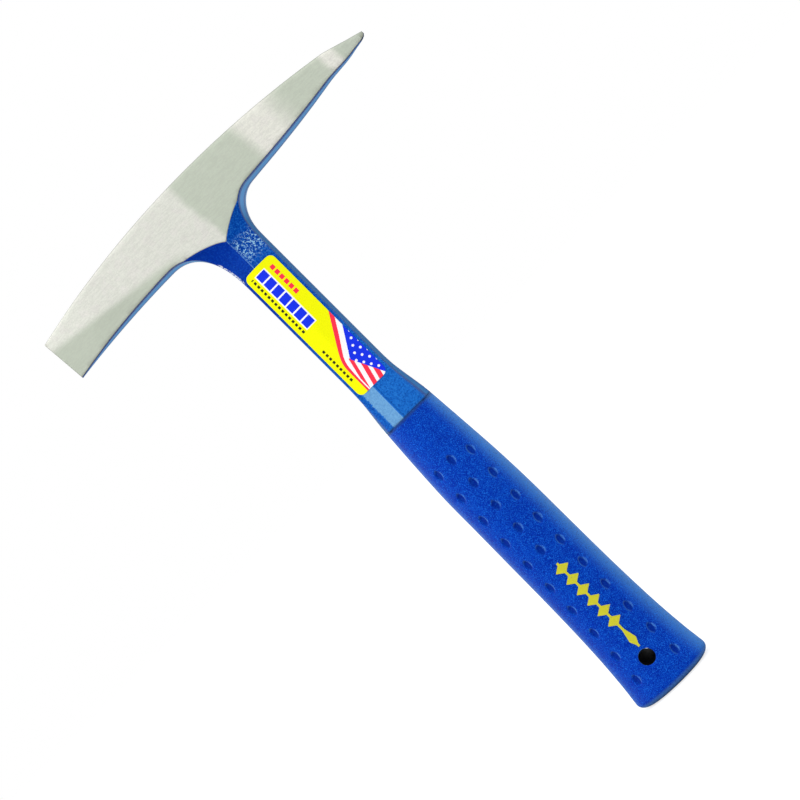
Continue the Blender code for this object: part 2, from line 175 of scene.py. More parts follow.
# X where the painted highlight bands begin, are full, begin to fade and end
HIGHLIGHT_BANDS = ((28.5, 35.5, 42.0, 57.0), (72.0, 75.5, 78.0, 82.0))
LOW_SHANK_SHEEN_Z = (166.0, 222.0)   # over this height a painted sheen on the enamel fades, from pale to deep blue
# Heights of the painted glints on the neck's pick-side face.
NECK_GLINT_Z = (232.0, 240.0, 242.0, 247.0)
# Heights of the painted glints along the neck's blade-side edge.
EDGE_GLINT_Z = (230.0, 232.0, 242.0, 244.0)
PRINT_WHITE = (0.92, 0.92, 0.92)
PRINT_BLUE = (0.008, 0.032, 0.78)
PRINT_RED = (0.95, 0.035, 0.075)
PRINT_DARK = (0.03, 0.03, 0.01)


# ---- mesh helpers ----
def new_object(name, points, faces, attributes=()):
    """A smooth-shaded mesh object from points in millimetres, with float attributes per point."""
    mesh = bpy.data.meshes.new(name)
    mesh.from_pydata((np.asarray(points) * MM).tolist(), [], faces)
    for key, values in dict(attributes).items():
        layer = mesh.attributes.new(key, "FLOAT", "POINT")
        layer.data.foreach_set("value", np.asarray(values, np.float32))
    mesh.shade_smooth()
    obj = bpy.data.objects.new(name, mesh)
    bpy.context.scene.collection.objects.link(obj)
    return obj


def ring_faces(low, high):
    """Quads between two closed rings, each given as a list of point numbers."""
    return [(low[i - 1], low[i], high[i], high[i - 1]) for i in range(len(low))]


def tube(name, rings, attributes=()):
    """A closed object through rings of equally many points, capped at both ends."""
    count = len(rings[0])
    numbers = [list(range(start, start + count)) for start in range(0, len(rings) * count, count)]
    faces = [tuple(reversed(numbers[0])), tuple(numbers[-1])]
    for low, high in zip(numbers, numbers[1:]):
        faces += ring_faces(low, high)
    return new_object(name, np.vstack(rings), faces, attributes)


def smooth_step(value):
    share = np.clip(value, 0.0, 1.0)
    return share * share * (3.0 - 2.0 * share)


def smooth_min(a, b, size):
    """The smaller of two heights, with a rounding of this size in place of the crease."""
    share = np.clip(0.5 + 0.5 * (b - a) / size, 0.0, 1.0)
    return b + (a - b) * share - size * share * (1.0 - share)


def resample(path, step):
    """The path again in even steps, with both of its ends."""
    path = np.asarray(path)
    along = np.concatenate([[0.0], np.cumsum(np.hypot(*np.diff(path, axis=0).T))])
    at = np.linspace(0.0, along[-1], math.ceil(along[-1] / step) + 1)
    return np.column_stack([np.interp(at, along, path[:, axis]) for axis in (0, 1)])


def inside(points, loop):
    """Which points lie inside a closed loop, by counting the edges to their right."""
    x, z = points.T
    result = np.zeros(len(points), bool)
    for (x0, z0), (x1, z1) in zip(loop, np.roll(loop, -1, axis=0)):
        if z0 != z1:
            crossing = x0 + (z - z0) * (x1 - x0) / (z1 - z0)
            result ^= ((z0 > z) != (z1 > z)) & (x < crossing)
    return result


def clear_of(points, others, distance):
    """Which points keep this distance from all the others."""
    result = np.ones(len(points), bool)
    for other in others:
        result &= np.hypot(*(points - other).T) > distance
    return result


# ---- forging: outline on the parting plane, and height of its faces over that plane ----
def head_top(x):
    """Top edge of the head on the parting plane."""
    arc = steel_high[2] - TOP_RADIUS + np.sqrt(TOP_RADIUS**2 - (x - APEX_X) ** 2)
    return arc - POINT_SLOPE * np.maximum(0.0, x - POINT_START_X)


def head_bottom(x):
    """Lower edge of the head on the parting plane, for the blade and for the pick."""
    blade_x, blade_z = BLADE_LOW_APEX
    pick_x, pick_z = PICK_LOW_APEX
    blade = blade_z - BLADE_LOW_RADIUS + np.sqrt(BLADE_LOW_RADIUS**2 - (x - blade_x) ** 2)
    pick = pick_z + PICK_LOW_RADIUS - np.sqrt(PICK_LOW_RADIUS**2 - (x - pick_x) ** 2)
    start, full = POINT_SAG_X
    nose = np.clip((x - steel_high[0]) / POINT_NOSE + 1.0, 0.0, 1.0)
    sag = POINT_SAG * smooth_step((x - start) / (full - start)) * np.sqrt(1.0 - nose**2)
    return np.where(x < APEX_X, blade, pick - sag)


def cheek_height(x, z=math.inf):
    """Half thickness between the ground cheeks, with softened breaks; no grinding down low."""
    shifts = np.linspace(-CHEEK_BLUR, CHEEK_BLUR, 9)
    blurred = np.mean([np.interp(x + shift, CHEEK_X, CHEEK_Y) for shift in shifts], axis=0)
    ground = np.minimum(blurred, np.interp(x, CHEEK_X, CHEEK_Y))
    return np.where(np.less(z, GRIND_BOTTOM_Z), 2.0 * max(CHEEK_Y), ground)


def collar_share(z):
    """0 on the straight shank, rising smoothly to 1 at the collar's underside."""
    s = np.clip((SHANK_BOTTOM_Z - z) / (SHANK_BOTTOM_Z - COLLAR_Z), 0.0, 1.0)
    return s * s * (2.2 - 1.2 * s)


def collar_lip(z):
    """How far the collar's lower rim is rounded inwards at this height."""
    rest = np.clip(COLLAR_LIP - (z - COLLAR_Z), 0.0, COLLAR_LIP)
    return COLLAR_LIP - np.sqrt(COLLAR_LIP**2 - rest**2)


def edge_x(z, side):
    """Parting-plane edge of the neck and shank; side is -1 for the blade, +1 for the pick."""
    end_x, end_z, start_z, power = FILLETS[side]
    shank_edge = SHANK_X + side * SHANK_HALF_WIDTH
    rise = np.clip((z - start_z) / (end_z - start_z), 0.0, 1.0)
    reach = (1.0 - rise**power) ** (1.0 / power)
    flare = (side * COLLAR_FLARE + COLLAR_X - SHANK_X) * collar_share(z)
    return end_x + (shank_edge - end_x) * reach + flare - side * collar_lip(z)


def shank_heights(z):
    """Height of the ridge, and of the roof face's outer edge."""
    share = collar_share(z)
    flare = np.maximum(0.0, z - RIDGE_FLARE_Z) ** 2 / (2.0 * RIDGE_FLARE_RADIUS)
    ridge = RIDGE_HEIGHT + COLLAR_RISE * share + flare
    return ridge, ridge - ROOF_DROP - ROOF_FLARE_DROP * flare - ROOF_COLLAR_DROP * share


def roof_foot(z, side, roof_edge):
    """Where the roof face ends on one side."""
    share = collar_share(z)
    chamfer = EDGE_CHAMFER + COLLAR_ROUNDING * share
    rise = (roof_edge - chamfer) * DRAFT
    lifted = np.where(z > FILLETS[-1][2], z - rise, z)
    return edge_x(lifted, side) - side * (rise + COLLAR_TUCK * share + chamfer)


def land_edge(z, side):
    """x of one edge of the land along the ridge."""
    return np.interp(z, *(LAND_LEFT if side < 0 else LAND_RIGHT))


def roof_height(x, z):
    """Height of the shank's roof: two sloping faces and a narrow land between them."""
    ridge, roof_edge = shank_heights(z)
    left, right = land_edge(z, -1), land_edge(z, 1)
    on_left = x < (left + right) / 2
    run = np.where(on_left, left - roof_foot(z, -1, roof_edge), roof_foot(z, 1, roof_edge) - right)
    beyond_land = np.where(on_left, left - x, x - right)
    faces = ridge - (ridge - roof_edge) / run * beyond_land
    return smooth_min(faces, ridge, CREASE) - collar_lip(z)


def blank_height(x, z):
    """Height of the forged stock before grinding: the roof, and the thicker head above it."""
    stock = cheek_height(x) + GRIND_STOCK
    beside_neck = (x < FILLETS[-1][0] + NECK_MARGIN) | (x > FILLETS[1][0] - NECK_MARGIN)
    in_head = beside_neck | (z > head_bottom(x) + HEAD_MARGIN)
    return np.maximum(roof_height(x, z), np.where(in_head, stock, 0.0))


def face_height(x, z):
    """Height of the finished faces: the forged stock, cut down to the ground cheeks."""
    return smooth_min(blank_height(x, z), cheek_height(x, z), CREASE)


def ground_distance(x, z):
    """Roughly how far a place lies inside the ground cheek, in millimetres; paint is negative."""
    return np.clip((blank_height(x, z) - cheek_height(x, z)) / 0.3, PAINTED, -PAINTED)


def side_path(side):
    """One side from the collar up to the end of its fillet."""
    _, end_z, start_z, _ = FILLETS[side]
    lip = COLLAR_Z + COLLAR_LIP * np.linspace(0.0, 1.0, 12) ** 2
    shank = np.linspace(COLLAR_Z + COLLAR_LIP, start_z, 200)[1:]
    fillet = start_z + (end_z - start_z) * (1.0 - (1.0 - np.linspace(0.0, 1.0, 300)[1:]) ** 3)
    z = np.concatenate([lip, shank, fillet])
    return np.column_stack([edge_x(z, side), z])


def blade_corner_x():
    """Lower end of the chisel edge."""
    height = head_top(steel_low[0]) - head_bottom(steel_low[0])
    return steel_low[0] + BLADE_LEAN * height


def point_share(x):
    """0 along the head, rising smoothly to 1 at the pick's point."""
    return smooth_step((x - steel_high[0]) / POINT_BLEND + 1.0)


def forging_outline():
    """The parting line from the collar's pick side round the head to its blade side.

    Returns its points and the rim rounding that each of them wants.
    """
    tip_x = steel_high[0]
    tip_z = (head_top(tip_x) + head_bottom(tip_x)) / 2.0
    pick_x, pick_z = FILLETS[1][:2]
    x = np.linspace(pick_x, tip_x, 200)[1:]
    step = head_bottom(pick_x) - pick_z
    low = head_bottom(x) - step * np.exp(-(x - pick_x) / 3.0)
    low += point_share(x) * (tip_z - POINT_HALF_HEIGHT - head_bottom(tip_x))
    pick_side = np.vstack([side_path(1), np.column_stack([x, low])])

    x = np.linspace(tip_x, steel_low[0], 400)
    high = head_top(x) + point_share(x) * (tip_z + POINT_HALF_HEIGHT - head_top(tip_x))
    top = np.column_stack([x, high])

    x = np.linspace(blade_corner_x(), FILLETS[-1][0], 200)[:-1]
    blade_side = np.vstack([np.column_stack([x, head_bottom(x)]), side_path(-1)[::-1]])
    chisel = np.array([top[-1], blade_side[0]])
    tip = np.array([pick_side[-1], top[0]])

    parts = [resample(path, OUTLINE_STEP) for path in (pick_side, tip, top, chisel, blade_side)]
    points = np.vstack([part[:-1] for part in parts] + [parts[-1][-1:]])

    # The lip's arc is finer than the even step, so its own heights are put back in.
    lip = COLLAR_Z + COLLAR_LIP * np.array(LIP_SHARES)
    keep = points[:, 1] > COLLAR_Z + 1.5 * COLLAR_LIP
    ends = [np.column_stack([edge_x(lip, side), lip]) for side in (1, -1)]
    points = np.vstack([ends[0], points[keep], ends[1][::-1]])
    chamfer = EDGE_CHAMFER + COLLAR_ROUNDING * collar_share(points[:, 1])
    side = np.where(points[:, 0] < APEX_X, -1, 1)
    end_x, end_z = (np.where(side < 0, FILLETS[-1][i], FILLETS[1][i]) for i in (0, 1))
    on_side = (np.abs(points[:, 0]) <= np.abs(end_x)) & (points[:, 1] < end_z + 1.0)
    fade = np.where(on_side, smooth_step((end_z - points[:, 1]) / RIM_BLEND), 0.0)
    return points, GROUND_RIM + (chamfer - GROUND_RIM) * fade


def inward_normals(points):
    """Mitred inward normals of an open path; both ends point straight across the shank."""
    steps = np.diff(points, axis=0)
    steps /= np.hypot(*steps.T)[:, None]
    sides = np.column_stack([-steps[:, 1], steps[:, 0]])
    middle = sides[:-1] + sides[1:]
    middle /= np.hypot(*middle.T)[:, None]
    middle /= np.maximum(0.6, np.sum(middle * sides[1:], axis=1))[:, None]
    normals = np.vstack([[-1.0, 0.0], middle, [1.0, 0.0]])
    near_collar = smooth_step((points[:, 1] - COLLAR_Z - COLLAR_LIP) / COLLAR_LIP)[:, None]
    across = np.column_stack([np.where(points[:, 0] > SHANK_X, -1.0, 1.0), np.zeros(len(points))])
    return across + (normals - across) * near_collar


def forging_walls(outline, rounding):
    """Rows of (x, z, height, ground, wall) from the parting line up to the rim of the faces.

    Wall counts from 0 on the parting line to 1 where the rim begins and ON_FACE where it ends.
    """
    normals = inward_normals(outline)
    tuck = COLLAR_TUCK * collar_share(outline[:, 1])
    inset = np.zeros(len(outline))
    for _ in range(4):
        place = outline + normals * inset[:, None]
        top = face_height(*place.T)
        rim = np.minimum(rounding, 0.45 * top)
        inset = DRAFT * (top - rim) + tuck + rim
    ground = ground_distance(*place.T)
    bare = np.where(normals[:, 1] > 0.3, GROUND_RIM_BARE, rim)
    rows = []
    for row in range(WALL_ROWS + RIM_ROWS + 1):
        wall = min(1.0, row / WALL_ROWS)
        turn = max(0, row - WALL_ROWS) / RIM_ROWS * math.pi / 2
        height = (top - rim) * wall + rim * math.sin(turn)
        reach = (DRAFT * (top - rim) + tuck) * wall + rim * (1.0 - math.cos(turn))
        place = outline + normals * reach[:, None]
        painted = np.minimum(ground, bare - (top - height))
        share = np.full(len(place), wall + (ON_FACE - 1.0) * turn / (math.pi / 2))
        rows.append(np.column_stack([place, height, painted, share]))
    return rows


def forging_creases():
    """Lines along which the faces bend, for the mesh to follow, each with its clearance.

    They run along the land's edges, along the lower rims of the cheeks and round the lip.
    """
    lines = []
    for side, top_z in ((-1, 247.5), (1, 240.0)):
        z = np.arange(COLLAR_Z + 1.0, top_z, 1.5)
        lines += [(np.column_stack([land_edge(z, side) + shift, z]), 0.5)
                  for shift in (-0.3, 0.0, 0.3)]
    x = np.linspace(-26.0, 19.0, 60)
    low, high = np.full(len(x), 242.0), np.full(len(x), 262.0)
    for _ in range(24):
        middle = (low + high) / 2.0
        above = roof_height(x, middle) > cheek_height(x)
        high = np.where(above, middle, high)
        low = np.where(above, low, middle)
    below_head = low < head_bottom(x) + 0.5
    lines += [(np.column_stack([x, low + shift])[below_head], 0.5) for shift in (-0.45, 0.0, 0.45)]
    x = np.arange(-11.0, 11.0, 0.8)
    lines += [(np.column_stack([x, np.full(len(x), COLLAR_Z + share * COLLAR_LIP)]), 0.02)
              for share in LIP_SHARES[2:]]
    return lines


def face_mesh(loop, creases):
    """Triangles that fill a loop on the parting plane and follow the creases.

    Returns points, triangles, and for each point the loop's index or -1.
    """
    points = [loop]
    edges = []
    count = len(loop)
    for line, clearance in creases:
        keep = inside(line, loop) & clear_of(line, loop, clearance)
        used = np.flatnonzero(keep)
        points.append(line[used])
        edges += [(count + i, count + i + 1) for i in range(len(used) - 1)
                  if used[i + 1] == used[i] + 1]
        count += len(used)
    low, high = loop.min(axis=0), loop.max(axis=0)
    grid_x, grid_z = np.meshgrid(np.arange(low[0], high[0], FACE_STEP),
                                 np.arange(low[1], high[1], FACE_STEP))
    grid_x[::2] += FACE_STEP / 2
    grid = np.column_stack([grid_x.ravel(), grid_z.ravel()])
    grid = grid[inside(grid, loop)]
    grid = grid[clear_of(grid, np.vstack(points), 0.6 * FACE_STEP)]
    every = [Vector(point) for point in np.vstack(points + [grid])]
    made, _, faces, origin, _, _ = delaunay_2d_cdt(
        every, edges, [list(range(len(loop)))], 1, 1e-5, True)
    flat = np.array([tuple(point) for point in made])
    faces = np.array([tuple(face) for face in faces])
    faces = faces[inside(flat[faces].mean(axis=1), loop)]
    of_loop = [min([i for i in ids if i < len(loop)], default=-1) for ids in origin]
    return flat, faces, of_loop


class Skin:
    """Points with their finish values, and faces, of a mesh that grows ring by ring."""

    def __init__(self):
        self.points, self.faces = [], []
        self.finish = {"ground": [], "wall": []}

    def add(self, points, ground, wall):
        """Add points, and return their numbers."""
        start = len(self.points)
        self.points.extend(points)
        self.finish["ground"].extend(ground)
        self.finish["wall"].extend(wall)
        return list(range(start, len(self.points)))


def add_half(skin, side, base, rows, face):
    """Add the walls and the face of one half, on the ring of the parting line.

    Side is -1 for the front and 1 for the back. Returns the numbers along the half's sole.
    """
    rings = [base]
    for row in rows[1:]:
        rings.append(skin.add([(x, side * height, z) for x, z, height, *_ in row],
                              row[:, 3], row[:, 4]))
    for low, high in zip(rings, rings[1:]):
        skin.faces += ring_faces(low, high)[1:]
    flat, triangles, of_loop = face
    heights, ground = face_height(*flat.T), ground_distance(*flat.T)
    free = [i for i, place in enumerate(of_loop) if not 0 <= place < len(base)]
    numbers = skin.add([(flat[i, 0], side * heights[i], flat[i, 1]) for i in free],
                       ground[free], [ON_FACE] * len(free))
    number_of = dict(zip(free, numbers))
    for i, place in enumerate(of_loop):
        if i not in number_of:
            number_of[i] = rings[-1][place]
    skin.faces += [tuple(number_of[i] for i in triangle) for triangle in triangles]
    sole = sorted((place, number_of[i]) for i, place in enumerate(of_loop) if place >= len(base))
    return ([ring[0] for ring in rings[1:]] + [number for _, number in reversed(sole)]
            + [ring[-1] for ring in rings[:0:-1]])


def add_shoulder(skin, ring, half_width):
    """Add the collar's flat underside, and the shoulder that sits in the grip's socket."""
    half_size = np.array([half_width, shank_heights(COLLAR_Z)[0]])
    for scale, drop in ((1.0 - SHOULDER_INSET / half_size, 0.0), ((1.0, 1.0), SHOULDER_DEPTH)):
        above = ring
        places = [skin.points[i] for i in above]
        ring = skin.add([(COLLAR_X + (x - COLLAR_X) * scale[0], y * scale[1], z - drop)
                         for x, y, z in places], [PAINTED] * len(above), [ON_FACE] * len(above))
        skin.faces += ring_faces(above, ring)
    skin.faces.append(tuple(ring))


def hammer_steel():
    """Both halves of the forging down to the collar, joined along the parting line."""
    outline, rounding = forging_outline()
    rows = forging_walls(outline, rounding)
    rim = rows[-1]
    steps = np.linspace(rim[-1, 0], rim[0, 0], 14)[1:-1]
    sole = np.column_stack([steps, np.full(len(steps), COLLAR_Z)])
    face = face_mesh(np.vstack([rim[:, :2], sole]), forging_creases())
    skin = Skin()
    base = skin.add([(x, 0.0, z) for x, z, *_ in rows[0]], rows[0][:, 3], rows[0][:, 4])
    front, back = (add_half(skin, side, base, rows, face) for side in (-1.0, 1.0))
    add_shoulder(skin, [base[0], *front, base[-1], *back[::-1]], outline[0, 0] - COLLAR_X)
    obj = new_object("hammer_steel", skin.points, skin.faces, skin.finish)
    orient_outwards(obj)
    obj.data.materials.append(forging_material())
    return obj


def orient_outwards(obj):
    """Turn all faces of a closed object outwards."""
    bpy.context.view_layer.objects.active = obj
    obj.select_set(True)
    bpy.ops.object.mode_set(mode="EDIT")
    bpy.ops.mesh.select_all(action="SELECT")
    bpy.ops.mesh.normals_make_consistent(inside=False)
    bpy.ops.object.mode_set(mode="OBJECT")
    obj.select_set(False)


# ---- grip: shape ----
def grip_values(z, values):
    """A grip measure at any height, with smooth slopes through its stations (Catmull-Rom)."""
    stations, values = np.array(GRIP_Z), np.array(values)
    z = np.clip(z, stations[0], stations[-1])
    before = np.maximum(np.arange(len(stations)) - 1, 0)
    after = np.minimum(np.arange(len(stations)) + 1, len(stations) - 1)
    slopes = (values[after] - values[before]) / (stations[after] - stations[before])
    low = np.clip(np.searchsorted(stations, z) - 1, 0, len(stations) - 2)
    span = stations[low + 1] - stations[low]
    t = (z - stations[low]) / span
    return ((2 * t**3 - 3 * t**2 + 1) * values[low] + (t**3 - 2 * t**2 + t) * slopes[low] * span
            + (3 * t**2 - 2 * t**3) * values[low + 1] + (t**3 - t**2) * slopes[low + 1] * span)


def grip_depth(x, z):
    """Distance of the grip's oval from the parting plane."""
    share = (x - grip_values(z, GRIP_CENTRE)) / grip_values(z, GRIP_HALF_WIDTH)
    return grip_values(z, GRIP_HALF_DEPTH) * np.sqrt(np.clip(1.0 - share**2, 0.0, 1.0))


def dimple_places():
    """(x, z) of every dimple on one face."""
    places = []
    for row in range(DIMPLE_SIDE_ROWS):
        z = DIMPLE_SIDE_Z + DIMPLE_PITCH * row
        widening = max(0.0, float(grip_values(z, GRIP_HALF_WIDTH)) - GRIP_HALF_WIDTH[4])
        x = DIMPLE_COLUMN_X + DIMPLE_SPREAD * widening
        places += [(-x, z + DIMPLE_SIDE_STAGGER), (x, z - DIMPLE_SIDE_STAGGER)]
    for row in range(DIMPLE_CENTRE_ROWS):
        places.append((0.0, DIMPLE_CENTRE_Z + DIMPLE_PITCH * row))
    return places


def dimple_shares(x, y, z):
    """How deep each point of the grip lies in a leaf-shaped dimple, from 0 to 1.

    Also how much it belongs to the rim on the dimples' pick side, which gets a painted highlight.
    """
    shares, rims = np.zeros(len(x)), np.zeros(len(x))
    for centre_x, centre_z in dimple_places():
        near = np.flatnonzero(np.abs(z - centre_z) < DIMPLE_HALF_LENGTH)
        depth = grip_depth(centre_x, centre_z)
        slope = grip_depth(centre_x + 0.5, centre_z) - grip_depth(centre_x - 0.5, centre_z)
        turn = math.atan(slope)
        across = ((x[near] - centre_x) * math.cos(turn)
                  + (np.abs(y[near]) - depth) * math.sin(turn))
        along = (z[near] - centre_z) / DIMPLE_HALF_LENGTH
        half = DIMPLE_HALF_WIDTH * (1.0 - np.abs(along) ** DIMPLE_LEAF_POWER)
        inner = 1.0 - np.abs(across) / np.maximum(half, 1e-6)
        share = smooth_step(inner / DIMPLE_SLOPE)
        share = share * smooth_step((1.0 - np.abs(along)) / DIMPLE_END_SLOPE)
        shares[near] = np.maximum(shares[near], np.where(inner > 0.0, share, 0.0))
        rim = smooth_step(1.0 - np.abs(inner) / DIMPLE_RIM)
        rim = rim * smooth_step((0.8 - np.abs(along)) / 0.5)
        rims[near] = np.maximum(rims[near], np.where(across > 0.0, rim, 0.0))
    return shares, rims


def grip_rows():
    """(z, inset) of the rows from the rim of the butt's flat up to the top."""
    turn = np.linspace(0.0, math.pi / 2, 14)
    butt_z = BUTT_ROUNDING_Z * (1.0 - np.cos(turn))
    rest = (1.0 - butt_z / BUTT_ROUNDING_Z) ** BUTT_ROUNDING_POWER
    rows = list(zip(butt_z, BUTT_INSET * (1.0 - np.sqrt(1.0 - rest))))
    top_z = COLLAR_Z - GRIP_TOP_GAP - GRIP_TOP_ROUNDING
    body = np.linspace(BUTT_ROUNDING_Z, top_z, round((top_z - BUTT_ROUNDING_Z) / GRIP_STEP))
    rows += [(z, 0.0) for z in body[1:]]
    for turn in np.linspace(0.0, math.pi / 2, 6)[1:]:
        inset = GRIP_TOP_ROUNDING * (1.0 - math.cos(turn))
        rows.append((top_z + GRIP_TOP_ROUNDING * math.sin(turn), inset))
    return rows + [(rows[-1][0], SOCKET_INSET)]


def handle_grip():
    """The moulded grip: crowned butt, oval body with dimples, rounded top, and hanging bore."""
    count = 4 * round(math.pi * (grip_high[0] + grip_high[1]) / 2 / GRIP_STEP / 2)
    angles = np.linspace(0.0, 2 * math.pi, count, endpoint=False)

    def oval(z, inset, share=1.0):
        half_width = share * (grip_values(z, GRIP_HALF_WIDTH) - inset)
        half_depth = share * (grip_values(z, GRIP_HALF_DEPTH) - inset)
        centre = grip_values(z, GRIP_CENTRE)
        return np.column_stack([centre + half_width * np.cos(angles),
                                half_depth * np.sin(angles), np.full(count, z)])

    rings = [oval(0.0, BUTT_INSET, share) for share in CAP_SHARES]
    rings += [oval(z, inset) for z, inset in grip_rows()]
    socket_z = grip_high[2] - SOCKET_DEPTH
    rings += [oval(socket_z, SOCKET_INSET, share) for share in (1.0, *CAP_SHARES[::-1])]

    points = np.vstack(rings)
    shares, rims = dimple_shares(*points.T)
    half_width = grip_values(points[:, 2], GRIP_HALF_WIDTH)
    half_depth = grip_values(points[:, 2], GRIP_HALF_DEPTH)
    outwards = np.column_stack([points[:, 0] / half_width**2, points[:, 1] / half_depth**2])
    outwards /= np.maximum(np.hypot(*outwards.T), 1e-9)[:, None]
    points[:, :2] -= outwards * (DIMPLE_DEPTH * shares)[:, None]
    obj = tube("handle_grip", np.split(points, len(rings)),
               {"dimple": shares, "dimple_rim": rims})
    obj.data.materials.append(vinyl_material())
    obj.data.materials.append(bore_shade_material())
    cut_bore(obj)
    return obj


def cut_bore(grip):
    """The tapered hanging bore with rounded mouths, cut through the grip."""
    depth = float(grip_depth(0.0, HANG_HOLE_Z))
    mouth, beyond = HANG_HOLE_MOUTH, 2.0
    front, rear = HANG_HOLE_RADII
    stations = [(-depth - beyond, front + beyond)]
    for turn in np.linspace(0.0, math.pi / 2, 6):
        flare = 1.0 - math.sin(turn)
        stations.append((-depth - mouth * flare + 0.4, front + mouth * flare**2))
    stations += [(depth - mouth, rear), (depth, rear + mouth / 2), (depth + beyond, rear + beyond)]
    angles = np.linspace(0.0, 2 * math.pi, 72, endpoint=False)
    cutter = tube("bore_cutter", [
        np.column_stack([radius * np.cos(angles), np.full(len(angles), y),
                         HANG_HOLE_Z + radius * np.sin(angles)]) for y, radius in stations])
    orient_outwards(cutter)
    cut = grip.modifiers.new("bore", "BOOLEAN")
    cut.operation = "DIFFERENCE"
    cut.solver = "EXACT"
    cut.object = cutter
    bpy.context.view_layer.update()
    dg = bpy.context.evaluated_depsgraph_get()
    mesh = bpy.data.meshes.new_from_object(grip.evaluated_get(dg), depsgraph=dg)
    grip.modifiers.clear()
    grip.data = mesh
    bpy.data.objects.remove(cutter)
    # The bore's wall gets the near-black painted shade.
    for face in mesh.polygons:
        x, y, z = face.center / MM
        near_axis = math.hypot(x, z - HANG_HOLE_Z) < HANG_HOLE_RADII[0] + 0.35
        face.material_index = 1 if near_axis and abs(y) < depth - mouth else 0


# ---- label and printed mark: shape ----
def film(name, rows, columns, height):
    """A thin closed shell over the front: rows are (z, left, right), columns are shares."""
    rings = []
    for z, left, right in rows:
        x = columns(z, left, right)
        heights = np.full(len(x), z)
        inner = height(x, heights) + FILM_LIFT
        outer = inner + FILM_THICKNESS
        rings.append(np.vstack([np.column_stack([x, -outer, heights]),
                                np.column_stack([x, -inner, heights])[::-1]]))
    obj = tube(name, rings)
    orient_outwards(obj)
    obj.data.set_sharp_from_angle(angle=math.radians(40))
    return obj


def label_columns(z, left, right):
    """Places across the label that follow both edges of the ridge's land."""
    edges = [land_edge(z, side) + shift for side in (-1, 1) for shift in (-0.13, 0.0, 0.13)]
    return np.concatenate([np.linspace(left, edges[0], 18)[:-1], edges,
                           np.linspace(edges[-1], right, 20)[1:]])


def label_film():
    """The label with rounded corners, bent over the ridge's land."""
    turn = np.linspace(0.0, math.pi / 2, 10)
    corner_z = LABEL_CORNER * (1.0 - np.cos(turn))
    inset = LABEL_CORNER * (1.0 - np.sin(turn))
    z = np.concatenate([label_low[2] + corner_z,
                        np.linspace(label_low[2] + LABEL_CORNER,
                                    label_high[2] - LABEL_CORNER, 90)[1:-1],
                        label_high[2] - corner_z[::-1]])
    inset = np.concatenate([inset, np.zeros(88), inset[::-1]])
    rows = [(h, label_low[0] + i, label_high[0] - i) for h, i in zip(z, inset)]
    obj = film("label_film", rows, label_columns, roof_height)
    obj.data.materials.append(label_material())
    return obj


def foil_mark():
    """A chain of diamonds on a thin line, with a slender last one."""
    low, high = mark_low[2], mark_high[2]
    centre = (mark_low[0] + mark_high[0]) / 2
    widest = (mark_high[0] - mark_low[0]) / 2
    pitch = (high - low - MARK_TAIL) / MARK_DIAMONDS
    z = np.linspace(low, high, 140)
    phase = np.mod(z - low - MARK_TAIL, pitch) / pitch
    chain = widest * (1.0 - np.abs(phase - 0.5) / (0.5 - MARK_LINE_SHARE))
    tail = MARK_TAIL_HALF_WIDTH * np.minimum((z - low) / (MARK_TAIL / 3),
                                             (low + MARK_TAIL - z) / (MARK_TAIL * 2 / 3))
    half = np.maximum(MARK_LINE_HALF_WIDTH, np.where(z < low + MARK_TAIL, tail, chain))
    rows = [(h, centre - w, centre + w) for h, w in zip(z, half)]
    obj = film("foil_mark_print", rows, lambda z, left, right: np.linspace(left, right, 7),
               grip_depth)
    obj.data.materials.append(foil_material())
    return obj


